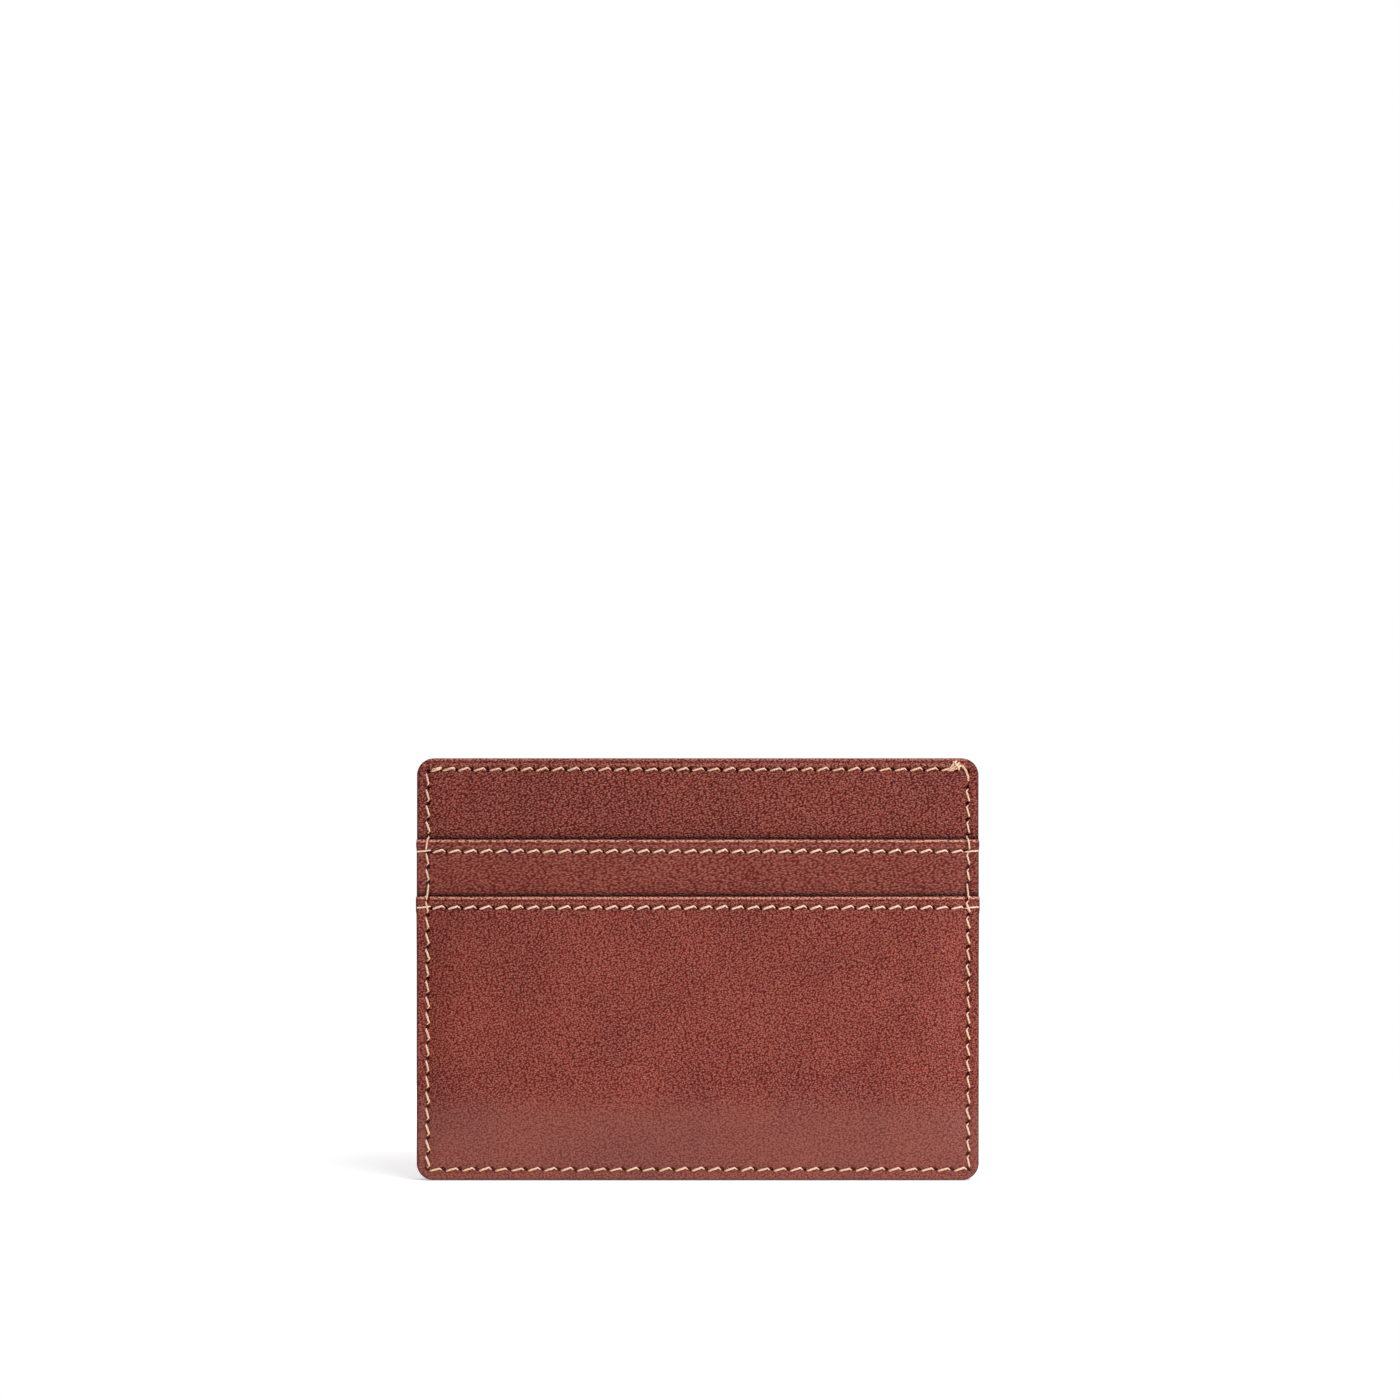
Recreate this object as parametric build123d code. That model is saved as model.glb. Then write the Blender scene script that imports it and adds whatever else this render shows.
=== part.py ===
"""A slim leather card holder: two identical sides, back to back, sewn round three edges.

X runs across its width, Y through its thickness (the front faces -Y) and Z up, with the origin
under the middle of the bottom edge. Each side is a stack of sheets, and a sheet's place in the
stack is its depth: the distance from the middle plane, outwards. The front is modelled, and the
rear is the same stack turned half a turn about Z.
"""
from build123d import *
import os

# The whole object
WIDTH = 100.0
HEIGHT = 75.0
CORNER_RADIUS = 3.0

# Heights of the mouths, and of the ends of the hidden sheets
UPPER_MOUTH = 60.8
LOWER_MOUTH = 50.7
SKIVE_START = 48.0    # the upper slot leather has its full thickness above this height
SKIVE_END = 42.0      # and ends here, pared thin
SKIVE_RUNOUT = 40.0   # the lower slot lies on the main panel again below this height
TONGUE_BOTTOM = 8.0   # the lining tongue that forms the bottom of the upper slot
TONGUE_FLAT = 12.0
TONGUE_RISE = 16.0
TONGUE_HALF_WIDTH = 45.0

# Thickness of each sheet, and the room that the empty slots have
LINING = 0.15
STIFFENER = 0.25
PANEL_LEATHER = 0.7
STRIP_LEATHER = 0.5
PARED_EDGE = 0.1
POCKET_LEATHER = 0.7
HALF_CENTRE_GAP = 0.2
SLOT_GAP = 0.25

# The pressed margin along the seams, and where the sheets reach their full depth inside it
SIDE_MARGIN = 46.4
STRIP_MARGIN = 45.7   # the pared strip starts to rise a little further in
SIDE_RISE = 43.0
BASE_MARGIN = 3.6
BASE_RISE = 7.5
POCKET_BASE_RISE = 9.0

# Seams
THREAD = 0.4          # across the seam
THREAD_HEIGHT = 0.3
LEG = 0.5             # one hole, along the seam
BOBBIN_HEIGHT = 0.12
GROOVE_WIDTH = 1.0
SEAM_INSET = 1.9
STRAIGHT_PITCH = 2.77
STRAIGHT_STITCHES = 33
BASE_STITCHES = 30
BOTTOM_STITCHES = 33
SIDE_STITCHES = 25
SIDE_SEAM_TOP = 72.2
TOP_SEAM = 73.05
UPPER_MOUTH_SEAM = 58.5
LOWER_MOUTH_SEAM = 48.55
SLOT_BASE_SEAM = 10.0

ABOVE = HEIGHT + 5.0  # past the top edge, for cutting tools


def face_of(points):
    """The flat face inside a ring of points, where a point may be given twice in a row."""
    ring = [here for here, before in zip(points, points[-1:] + points[:-1]) if here != before]
    return make_face(Polyline(*ring, close=True))


def prism_along_x(profile):
    """The solid under a (z, depth) line, from the bottom edge to past the top, right across the width."""
    ring = [(profile[0][0], 0)] + profile + [(ABOVE, profile[-1][1]), (ABOVE, 0)]
    face = face_of([(0, -depth, z) for z, depth in ring])
    return extrude(face, amount=WIDTH / 2, dir=(1, 0, 0), both=True)


def prism_along_z(profile):
    """The solid under an (x, depth) line, from the bottom edge to past the top."""
    return extrude(face_of([(x, -depth, 0) for x, depth in profile]), amount=ABOVE, dir=(0, 0, 1))


def block(x_low, x_high, deep, outer, z_low, z_high):
    """A box between two depths."""
    size = (x_high - x_low, outer - deep, z_high - z_low)
    middle = ((x_low + x_high) / 2, -(deep + outer) / 2, (z_low + z_high) / 2)
    return Pos(*middle) * Box(*size)


def under(margin, field, side_margin=SIDE_MARGIN, base_rise=BASE_RISE):
    """Everything below a face that is pressed to the margin steps and stands at the field steps inside.

    Both are lists of (z, depth), from the bottom edge up, and each runs on past the top edge.
    """
    low = min(depth for _, depth in margin)
    high = max(depth for _, depth in field)
    inside = [(base_rise, field[0][1])] + [(z, depth) for z, depth in field if z > base_rise]
    lengthways = prism_along_x([(BASE_MARGIN, low)] + inside)
    crossways = prism_along_z([
        (-side_margin, 0), (-side_margin, low), (-SIDE_RISE, high),
        (SIDE_RISE, high), (side_margin, low), (side_margin, 0),
    ])
    raised = lengthways & crossways
    return prism_along_x(margin) + raised if low > 0 else raised


def outline(bottom, top):
    """The holder's rounded outline between two heights, as deep as one side can be."""
    card = Pos(0, 0, HEIGHT / 2) * Rot(90, 0, 0) * RectangleRounded(WIDTH, HEIGHT, CORNER_RADIUS)
    return extrude(card, amount=10, dir=(0, -1, 0)) & block(-WIDTH, WIDTH, -1, 20, bottom, top)


def sheet(outer, inner, bottom=0.0, top=HEIGHT):
    return (outer - inner) & outline(bottom, top)


def comb(places, levels, root, height, outward=1):
    """One thread as a (place, depth) ring: a bar between each two holes, and a leg in each hole.

    levels gives the depth of the face under each bar, root the depth where the legs end.
    """
    face = []
    for start, end, level in zip(places, places[1:], levels):
        face += [(start, level + outward * height), (end, level + outward * height)]
    face[0] = (places[0] - LEG / 2, face[0][1])
    face[-1] = (places[-1] + LEG / 2, face[-1][1])
    back = [(places[-1] + LEG / 2, root), (places[-1] - LEG / 2, root)]
    for here in range(len(places) - 2, -1, -1):
        back += [(places[here + 1] - LEG / 2, levels[here]), (places[here] + LEG / 2, levels[here])]
        back += [(places[here] + LEG / 2, root), (places[here] - LEG / 2, root)]
    return face + back


def thread_along_x(ring, z):
    face = face_of([(x, -depth, z - THREAD / 2) for x, depth in ring])
    return extrude(face, amount=THREAD, dir=(0, 0, 1))


def thread_along_z(ring, x):
    face = face_of([(x - THREAD / 2, -depth, z) for z, depth in ring])
    return extrude(face, amount=THREAD, dir=(1, 0, 0))


def hole(x, z, along_x):
    wide, tall = (LEG, THREAD) if along_x else (THREAD, LEG)
    return Pos(x, 0, z) * Box(wide, 20, tall)


def spread(low, high, stitches):
    return [low + (high - low) * number / stitches for number in range(stitches + 1)]


def level_over(start, end, steps):
    """The greatest depth of a stepped or sloping face between two places along a seam."""
    def at(place):
        before = [s for s in steps if s[0] <= place] or [steps[0]]
        after = [s for s in steps if s[0] > place] or [steps[-1]]
        (p0, d0), (p1, d1) = before[-1], after[0]
        return d0 if p1 <= p0 else d0 + (d1 - d0) * (place - p0) / (p1 - p0)
    return max([at(start), at(end)] + [d for p, d in steps if start < p < end])


# The faces of the stack, from the middle plane outwards: (z, depth) in the margin and in the field
def flat(depth):
    return [(0, depth)]


def grown(steps, by):
    return [(z, depth + by) for z, depth in steps]


centre_face = under(flat(0.0), flat(HALF_CENTRE_GAP))
lining_face = under(flat(LINING), flat(HALF_CENTRE_GAP + LINING))
board_depth = LINING + STIFFENER
board_face = under(flat(board_depth), flat(HALF_CENTRE_GAP + board_depth))
panel_margin = board_depth + PANEL_LEATHER
panel_field = panel_margin + HALF_CENTRE_GAP
panel_face = under(flat(panel_margin), flat(panel_field))

tongue_field = [
    (0, panel_field), (TONGUE_FLAT, panel_field), (TONGUE_RISE, panel_field + SLOT_GAP),
]
tongue_back = under(flat(panel_margin), tongue_field)
tongue_face = under(flat(panel_margin + LINING), grown(tongue_field, LINING))

strip_margin = [
    (0, panel_margin + LINING + PARED_EDGE), (SKIVE_END, panel_margin + LINING + PARED_EDGE),
    (SKIVE_START, panel_margin + LINING + STRIP_LEATHER),
]
strip_base = panel_field + SLOT_GAP + LINING
strip_field = [
    (0, strip_base + PARED_EDGE), (SKIVE_END, strip_base + PARED_EDGE),
    (SKIVE_START, strip_base + STRIP_LEATHER),
]
strip_face = under(strip_margin, strip_field, side_margin=STRIP_MARGIN)

pocket_margin = [(0, panel_margin), (SKIVE_RUNOUT, panel_margin)] + strip_margin[1:]
pocket_field = flat(strip_base + STRIP_LEATHER + SLOT_GAP)
pocket_leather = LINING + POCKET_LEATHER
pocket_back, pocket_lining_face, pocket_face = [
    under(grown(pocket_margin, by), grown(pocket_field, by), base_rise=POCKET_BASE_RISE)
    for by in (0, LINING, pocket_leather)
]
pocket_depth = pocket_field[0][1] + pocket_leather

# The sheets of one side
tongue = sheet(tongue_face, tongue_back, TONGUE_BOTTOM, UPPER_MOUTH)
for side in (-1, 1):
    edge = sorted((side * TONGUE_HALF_WIDTH, side * (WIDTH / 2 + 1)))
    tongue -= block(*edge, 0, 10, 0, SKIVE_END)
sheets = {
    "centre_lining": sheet(lining_face, centre_face),
    "stiffener": sheet(board_face, lining_face),
    "main_panel": sheet(panel_face, board_face),
    "upper_slot_lining": tongue,
    "upper_slot_leather": sheet(strip_face, tongue_face, SKIVE_END, UPPER_MOUTH),
    "lower_slot_lining": sheet(pocket_lining_face, pocket_back, 0, LOWER_MOUTH),
    "lower_slot_leather": sheet(pocket_face, pocket_lining_face, 0, LOWER_MOUTH),
}

# The straight seams of one side. The needle thread lies in a groove, flush with the leather.
straight_half = STRAIGHT_PITCH * STRAIGHT_STITCHES / 2
straight_places = spread(-straight_half, straight_half, STRAIGHT_STITCHES)
# name: (height, sheets sewn, then the depths of the face in the field, in the margin, and of the back)
straight_seams = {
    "top_edge_stitching": (
        TOP_SEAM, ("main_panel", "stiffener", "centre_lining"),
        panel_field, panel_margin, HALF_CENTRE_GAP,
    ),
    "upper_mouth_stitching": (
        UPPER_MOUTH_SEAM, ("upper_slot_leather", "upper_slot_lining"),
        strip_base + STRIP_LEATHER, strip_margin[-1][1], panel_field + SLOT_GAP,
    ),
    "lower_mouth_stitching": (
        LOWER_MOUTH_SEAM, ("lower_slot_leather", "lower_slot_lining"),
        pocket_depth, pocket_margin[-1][1] + pocket_leather, pocket_field[0][1],
    ),
}
seams = {}
for name, (z, sewn, face, margin, back) in straight_seams.items():
    floor = face - THREAD_HEIGHT
    top = max(floor, margin)
    steps = [(-SIDE_MARGIN, margin), (-SIDE_RISE, top), (SIDE_RISE, top), (SIDE_MARGIN, margin)]
    levels = [level_over(a, b, steps) for a, b in zip(straight_places, straight_places[1:])]
    middle = (floor + back) / 2
    needle = thread_along_x(comb(straight_places, levels, middle, THREAD_HEIGHT), z)
    inner = [x for x in straight_places if abs(x) < SIDE_RISE - LEG]
    loops = comb(inner, [back] * (len(inner) - 1), middle, BOBBIN_HEIGHT, outward=-1)
    seams[name] = [needle, thread_along_x(loops, z)]
    leather = sewn[0]
    sheets[leather] -= block(-SIDE_MARGIN, SIDE_MARGIN, floor, 10, z - GROOVE_WIDTH / 2, z + GROOVE_WIDTH / 2)
    for sheet_name in sewn:
        sheets[sheet_name] -= [hole(x, z, True) for x in straight_places]

# The hidden seam that sews the tongue's lower edge to the main panel
base_half = STRAIGHT_PITCH * BASE_STITCHES / 2
base_places = spread(-base_half, base_half, BASE_STITCHES)
base_face = panel_field + LINING
panel_back = HALF_CENTRE_GAP + board_depth
base_middle = (base_face + panel_back) / 2
loop_floor = panel_back + BOBBIN_HEIGHT
bars = comb(base_places, [base_face] * BASE_STITCHES, base_middle, THREAD_HEIGHT)
needle = thread_along_x(bars, SLOT_BASE_SEAM)
loops = comb(base_places, [loop_floor] * BASE_STITCHES, base_middle, BOBBIN_HEIGHT, outward=-1)
seams["slot_base_stitching"] = [needle, thread_along_x(loops, SLOT_BASE_SEAM)]
base_holes = [hole(x, SLOT_BASE_SEAM, True) for x in base_places]
sheets["upper_slot_lining"] -= base_holes
sheets["main_panel"] -= base_holes
sheets["main_panel"] -= block(
    -base_half - LEG / 2, base_half + LEG / 2, 0, loop_floor,
    SLOT_BASE_SEAM - THREAD / 2, SLOT_BASE_SEAM + THREAD / 2,
)

# The perimeter seam: down one side, along the bottom and up the other, through everything
seam_x = WIDTH / 2 - SEAM_INSET
side_places = spread(SEAM_INSET, SIDE_SEAM_TOP, SIDE_STITCHES)
bottom_places = spread(-seam_x, seam_x, BOTTOM_STITCHES)
perimeter_holes = [hole(x, SEAM_INSET, True) for x in bottom_places]
for x in (-seam_x, seam_x):
    perimeter_holes += [hole(x, z, False) for z in side_places]

pocket_steps = grown(pocket_margin, pocket_leather)
side_steps = pocket_steps + [
    (LOWER_MOUTH, pocket_steps[-1][1]), (LOWER_MOUTH, strip_margin[-1][1]),
    (UPPER_MOUTH, strip_margin[-1][1]), (UPPER_MOUTH, panel_margin),
]
side_levels = [level_over(a, b, side_steps) for a, b in zip(side_places, side_places[1:])]
bottom_levels = [pocket_steps[0][1]] * BOTTOM_STITCHES
side_comb = comb(side_places, side_levels, 0.0, THREAD_HEIGHT)
bottom_comb = comb(bottom_places, bottom_levels, 0.0, THREAD_HEIGHT)
perimeter = thread_along_x(bottom_comb, SEAM_INSET)
for x in (-seam_x, seam_x):
    perimeter += thread_along_z(side_comb, x)

# Both sides, written one node to a file
turn = Rot(0, 0, 180)
nodes = {"perimeter_needle_thread": perimeter, "perimeter_bobbin_thread": turn * perimeter}
for name, solid in sheets.items():
    nodes["front_" + name] = solid - perimeter_holes
    nodes["rear_" + name] = (turn * solid) - perimeter_holes
for name, threads in seams.items():
    nodes["front_" + name] = Compound(threads)
    nodes["rear_" + name] = Compound([turn * thread for thread in threads])

os.makedirs("parts", exist_ok=True)
for name, shape in nodes.items():
    export_step(shape, f"parts/{name}.step")
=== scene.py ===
"""A slim two-sided card holder in red-brown glazed calf, sewn with beige waxed thread.

Made in metres, in the frame's axes: X across, Y through the thickness with the front at -Y, and
Z up from the edge it stands on. Sizes are written in millimetres and brought to metres by MM.
"""
import math

import bmesh
import bpy
import numpy as np
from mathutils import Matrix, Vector


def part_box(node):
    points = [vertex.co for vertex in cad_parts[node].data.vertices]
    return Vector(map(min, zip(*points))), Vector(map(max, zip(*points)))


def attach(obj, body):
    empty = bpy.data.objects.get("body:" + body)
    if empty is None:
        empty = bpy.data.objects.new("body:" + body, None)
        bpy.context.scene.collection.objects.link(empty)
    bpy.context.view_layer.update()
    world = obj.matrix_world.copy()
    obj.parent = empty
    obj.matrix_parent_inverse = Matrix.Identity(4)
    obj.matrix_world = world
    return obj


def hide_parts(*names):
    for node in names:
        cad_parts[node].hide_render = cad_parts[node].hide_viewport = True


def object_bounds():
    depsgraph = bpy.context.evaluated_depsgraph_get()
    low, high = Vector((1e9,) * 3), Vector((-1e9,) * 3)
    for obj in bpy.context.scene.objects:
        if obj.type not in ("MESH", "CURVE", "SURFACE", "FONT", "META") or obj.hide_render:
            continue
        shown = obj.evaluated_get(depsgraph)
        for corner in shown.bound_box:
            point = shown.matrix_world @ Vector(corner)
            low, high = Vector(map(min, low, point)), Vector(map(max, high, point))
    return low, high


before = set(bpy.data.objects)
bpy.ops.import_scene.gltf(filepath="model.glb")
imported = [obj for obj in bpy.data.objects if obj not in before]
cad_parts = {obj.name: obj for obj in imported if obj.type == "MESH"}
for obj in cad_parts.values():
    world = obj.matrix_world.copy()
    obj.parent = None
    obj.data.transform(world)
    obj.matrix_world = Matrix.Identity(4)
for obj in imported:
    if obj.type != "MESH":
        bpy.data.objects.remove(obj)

cad_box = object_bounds()

# --------------------------------------------------------------
# Centre linings. Both faces of the central pocket are faced with a thin brown viscose twill,
# cut to the holder's outline and bonded to the board behind it. It shows only down the opening.
# --------------------------------------------------------------
MM = 0.001
panel_low, panel_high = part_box("front_main_panel")
WIDTH = (panel_high.x - panel_low.x) / MM
HEIGHT = (panel_high.z - panel_low.z) / MM
CORNER_RADIUS = 3.0
LINING = 0.15
HALF_CENTRE_GAP = 0.2
SIDES = {"front": 1, "rear": -1}     # the rear is the front turned half a turn about Z


def half_width(z):
    """Half the holder's width at a height, narrower within the rounded corners."""
    into_corner = np.clip(CORNER_RADIUS - np.minimum(z, HEIGHT - z), 0, CORNER_RADIUS)
    return WIDTH / 2 - CORNER_RADIUS + np.sqrt(CORNER_RADIUS ** 2 - into_corner ** 2)


def edge_distance(x, z):
    """How far a point lies inside the holder's rounded outline."""
    across = np.abs(x) - (WIDTH / 2 - CORNER_RADIUS)
    upright = np.abs(z - HEIGHT / 2) - (HEIGHT / 2 - CORNER_RADIUS)
    outside = np.hypot(np.maximum(across, 0), np.maximum(upright, 0))
    return CORNER_RADIUS - outside - np.minimum(np.maximum(across, upright), 0)


def release(distance, start, length):
    """0 where the seams press the layers together, rising to 1 where they lie free.

    The sheets leave a seam steeply and level out slowly, as leather does.
    """
    t = np.clip((distance - start) / length, 0, 1)
    return (1 - (1 - t) ** 3) * t / (t + 0.05) * 1.05


def freedom(x, z):
    """0 along the perimeter seam's pressed margin, rising to 1 over the field inside it."""
    margin, side_rise, foot_rise = 2.5, 8.0, 14.0
    return release(WIDTH / 2 - np.abs(x), margin, side_rise) * release(z, margin, foot_rise)


def layer(margin, field):
    """A face of the stack, given by its depth where it is sewn and where it lies free."""
    def depth(x, z):
        pressed = margin(z) if callable(margin) else margin
        lifted = field(z) if callable(field) else field
        return pressed + (lifted - pressed) * freedom(x, z)
    return depth


def spaced(length, pitch):
    """Places along a sheet: close together in the worked strip beside each edge, even between."""
    first, growth, widest, strip = 0.05, 1.15, 0.2, 3.2
    near = [0.0]
    while near[-1] < strip:
        near.append(near[-1] + min(first * growth ** (len(near) - 1), widest))
    near = np.array(near)
    between = length - 2 * near[-1]
    middle = np.linspace(near[-1], length - near[-1], round(between / pitch) + 1)[1:-1]
    return np.concatenate([near, middle, length - near[::-1]])


def sheet_mesh(name, side, bottom, top, pitch, outer, inner,
               round_over=0.0, top_round=0.0, inset=None, marks_and_painted_light=None, hidden_below=0.0):
    """A closed sheet between two depths, with its outer edges bevelled and rounded over.

    round_over is the bevel's width round the outline and top_round its width along the top.
    inset(z) narrows the sheet, worn(x, z), the tool marks with painted shade and painted highlights, is kept
    as the attribute "tooling", the inner face kept fully dark, and below hidden_below, where another sheet
    covers it, only every fifth row is kept. Its faces carry slot 0 on the outer face, 1 on the cut edge and 2
    on the inner face.
    """
    corner_reach, deepest_share = 14, 0.6
    places, rows = spaced(WIDTH, pitch) - WIDTH / 2, bottom + spaced(top - bottom, pitch)
    rows = rows[(rows > hidden_below) | (np.arange(len(rows)) % 5 == 0)]
    across, z = np.meshgrid(places, rows)
    drawn_in = WIDTH / 2 - half_width(z) + (inset(z) if inset else 0)
    fade = np.clip(1 - (WIDTH / 2 - np.abs(across)) / corner_reach, 0, 1)
    x = across - np.sign(across) * drawn_in * fade * fade * (3 - 2 * fade)
    faces = [outer(x, z), inner(x, z)]
    if round_over:
        deepest = deepest_share * (faces[0] - faces[1])
        drop = 0 * x
        for to_edge, width in ((edge_distance(x, z), round_over), (top - z, top_round)):
            rounded = np.clip(1 - to_edge / width, 0, 1)
            bevel = 0.5 * rounded + 0.5 * (1 - np.sqrt(1 - rounded ** 2))
            drop = np.maximum(drop, np.minimum(width, deepest) * bevel)
        faces[0] = faces[0] - drop
    points = np.concatenate([np.stack([x, -depth, z], -1).reshape(-1, 3) for depth in faces]) * MM
    points[:, :2] *= SIDES[side]

    rows_up, columns = x.shape
    index = np.arange(rows_up * columns).reshape(x.shape)
    below = index + rows_up * columns
    a, b, c, d = index[:-1, :-1], index[:-1, 1:], index[1:, 1:], index[1:, :-1]
    skin = np.stack([a, b, c, d], -1).reshape(-1, 4)
    back = skin[:, ::-1] + rows_up * columns
    rim = []
    for line, under, turned in (
        (index[0], below[0], False), (index[-1], below[-1], True),
        (index[:, 0], below[:, 0], True), (index[:, -1], below[:, -1], False),
    ):
        strip = np.stack([line[:-1], under[:-1], under[1:], line[1:]], -1)
        rim.append(strip[:, ::-1] if turned else strip)
    rim = np.concatenate(rim)
    mesh = bpy.data.meshes.new(name)
    mesh.from_pydata(points.tolist(), [], np.concatenate([skin, rim, back]).tolist())
    kinds = np.repeat([0, 1, 2], [len(skin), len(rim), len(back)])
    mesh.polygons.foreach_set("material_index", kinds.astype(np.int32))
    # Tool marks with painted shade and painted highlights on the outer face; the inner face is fully dark.
    tooling = marks_and_painted_light(x, z).ravel() if marks_and_painted_light else np.zeros(x.size)
    values = np.concatenate([tooling, np.ones(x.size)]).astype(np.float32)
    mesh.attributes.new("tooling", "FLOAT", "POINT").data.foreach_set("value", values)
    return mesh


def add_piece(mesh, materials, replaced, sharp=35):
    """Puts a finished mesh in the holder, in place of CAD nodes."""
    mesh.materials.clear()
    for material in materials:
        mesh.materials.append(material)
    mesh.shade_smooth()
    mesh.set_sharp_from_angle(angle=math.radians(sharp))
    piece = bpy.data.objects.new(mesh.name, mesh)
    bpy.context.scene.collection.objects.link(piece)
    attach(piece, "root")
    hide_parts(*replaced)
    return piece


def colour(hex_value):
    """Linear RGBA from an sRGB hex value."""
    channels = [int(hex_value[k:k + 2], 16) / 255 for k in (1, 3, 5)]
    return [c / 12.92 if c <= 0.04045 else ((c + 0.055) / 1.055) ** 2.4 for c in channels] + [1.0]


def add(tree, kind, inputs=None, **settings):
    """Adds a node: inputs maps an input's name or number to a value, or to the output it takes."""
    node = tree.nodes.new(kind)
    for name, value in settings.items():
        setattr(node, name, value)
    for key, value in (inputs or {}).items():
        if isinstance(value, bpy.types.NodeSocket):
            tree.links.new(value, node.inputs[key])
        else:
            node.inputs[key].default_value = value
    return node


def new_material(name, **finish):
    """A material whose uniform finish is set on the shader itself. Returns it, its tree and shader."""
    material = bpy.data.materials.new(name)
    material.use_nodes = True
    shader = material.node_tree.nodes["Principled BSDF"]
    for key, value in finish.items():
        shader.inputs[key.replace("_", " ")].default_value = value
    return material, material.node_tree, shader


def drive(tree, shader, **outputs):
    """Links the outputs that vary over a surface to the shader's inputs."""
    for key, output in outputs.items():
        tree.links.new(output, shader.inputs[key.replace("_", " ")])


def twill_lining():
    """Viscose twill: a fine diagonal rib, a soft sheen and no gloss."""
    rib_pitch, bands_per_unit = 0.35 * MM, 20 / math.tau
    material, tree, shader = new_material(
        "twill_lining", Roughness=0.75, Sheen_Weight=0.35, Sheen_Roughness=0.4,
    )
    place = add(tree, "ShaderNodeTexCoord").outputs["Object"]
    turned = add(tree, "ShaderNodeMapping", {"Vector": place, "Rotation": (0, math.radians(38), 0)})
    rib = add(tree, "ShaderNodeTexWave", {
        "Vector": turned.outputs[0], "Scale": 1 / (bands_per_unit * rib_pitch), "Distortion": 0.6,
        "Detail": 1.0,
    }, bands_direction="X")
    tint = add(tree, "ShaderNodeMix", {
        0: rib.outputs["Fac"], 6: colour("#3A2019"), 7: colour("#5A3629"),
    }, data_type="RGBA")
    relief = add(tree, "ShaderNodeBump", {
        "Height": rib.outputs["Fac"], "Distance": 0.05 * MM, "Strength": 0.6,
    })
    drive(tree, shader, Base_Color=tint.outputs[2], Normal=relief.outputs[0])
    return material


lining_finish = twill_lining()
centre_face = layer(0.0, HALF_CENTRE_GAP)
centre_lining_face = layer(LINING, HALF_CENTRE_GAP + LINING)
LINING_MESH, BOARD_MESH, LEATHER_MESH = 1.5, 2.0, 0.5     # the even spacing of a mesh's rows
for side in SIDES:
    mesh = sheet_mesh(side + "_centre_lining_twill", side, 0.0, HEIGHT - 0.1, BOARD_MESH,
                      centre_lining_face, centre_face)
    lining = add_piece(mesh, [lining_finish] * 3, [side + "_centre_lining"])

# --------------------------------------------------------------
# Stiffeners. Behind each main panel lies a bonded-leather board, pulped leather fibre rolled
# with latex into a flat brown sheet. It is die-cut to the outline, and only its edge shows.
# --------------------------------------------------------------
STIFFENER = 0.25


def bonded_board():
    """Bonded leather: a matt, felted brown with short pale and dark fibres."""
    material, tree, shader = new_material("bonded_leather_board", Roughness=0.85)
    place = add(tree, "ShaderNodeTexCoord").outputs["Object"]
    fibre = add(tree, "ShaderNodeTexNoise", {
        "Vector": place, "Scale": 1 / (0.5 * MM), "Detail": 4.0, "Roughness": 0.7, "Distortion": 1.5,
    })
    tint = add(tree, "ShaderNodeMix", {
        0: fibre.outputs["Fac"], 6: colour("#4A2A1E"), 7: colour("#7A4E38"),
    }, data_type="RGBA")
    relief = add(tree, "ShaderNodeBump", {
        "Height": fibre.outputs["Fac"], "Distance": 0.03 * MM, "Strength": 0.5,
    })
    drive(tree, shader, Base_Color=tint.outputs[2], Normal=relief.outputs[0])
    return material


def burnished_edge():
    """A cut edge dyed, waxed and rubbed until it shines: darker than the skin, with faint streaks."""
    material, tree, shader = new_material(
        "burnished_edge", Roughness=0.4, Coat_Weight=0.1, Coat_Roughness=0.2,
    )
    place = add(tree, "ShaderNodeTexCoord").outputs["Object"]
    streaks = add(tree, "ShaderNodeTexNoise", {
        "Vector": place, "Scale": 1 / (0.9 * MM), "Detail": 3.0, "Roughness": 0.6,
    })
    tint = add(tree, "ShaderNodeMix", {
        0: streaks.outputs["Fac"], 6: colour("#4C2018"), 7: colour("#84402F"),
    }, data_type="RGBA")
    relief = add(tree, "ShaderNodeBump", {
        "Height": streaks.outputs["Fac"], "Distance": 0.04 * MM, "Strength": 0.5,
    })
    drive(tree, shader, Base_Color=tint.outputs[2], Normal=relief.outputs[0])
    return material


board_finish, edge_finish = bonded_board(), burnished_edge()
board_depth = LINING + STIFFENER
board_face = layer(board_depth, HALF_CENTRE_GAP + board_depth)
for side in SIDES:
    mesh = sheet_mesh(side + "_stiffener_board", side, 0.0, HEIGHT, BOARD_MESH, board_face,
                      centre_lining_face)
    add_piece(mesh, [board_finish, edge_finish, board_finish], [side + "_stiffener"])

# --------------------------------------------------------------
# Main panels. Vegetable-retanned calf, aniline dyed red-brown and glazed, 0.7 mm thick: a fine
# pored grain that takes a soft shine, darker where tools have pressed it and along its edges. Its
# colour also carries painted shade just above the upper slot's mouth and a painted highlight along its top.
# --------------------------------------------------------------
PANEL_LEATHER = 0.7
SEAM_INSET = 1.9
TOP_SEAM = HEIGHT - 1.95
SIDE_SEAM_TOP = 72.65
SIDE_STITCHES = 25
BOTTOM_STITCHES = 33
TOP_SEAM_REACH = 45.8
TOP_STITCHES = 33
UPPER_MOUTH_CUT = 60.8
LOWER_MOUTH_CUT = 50.7
RUBBED_DOWN = 0.25            # a cut mouth is rubbed down to a bead this much lower
UPPER_MOUTH = UPPER_MOUTH_CUT - RUBBED_DOWN
LOWER_MOUTH = LOWER_MOUTH_CUT - RUBBED_DOWN
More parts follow.
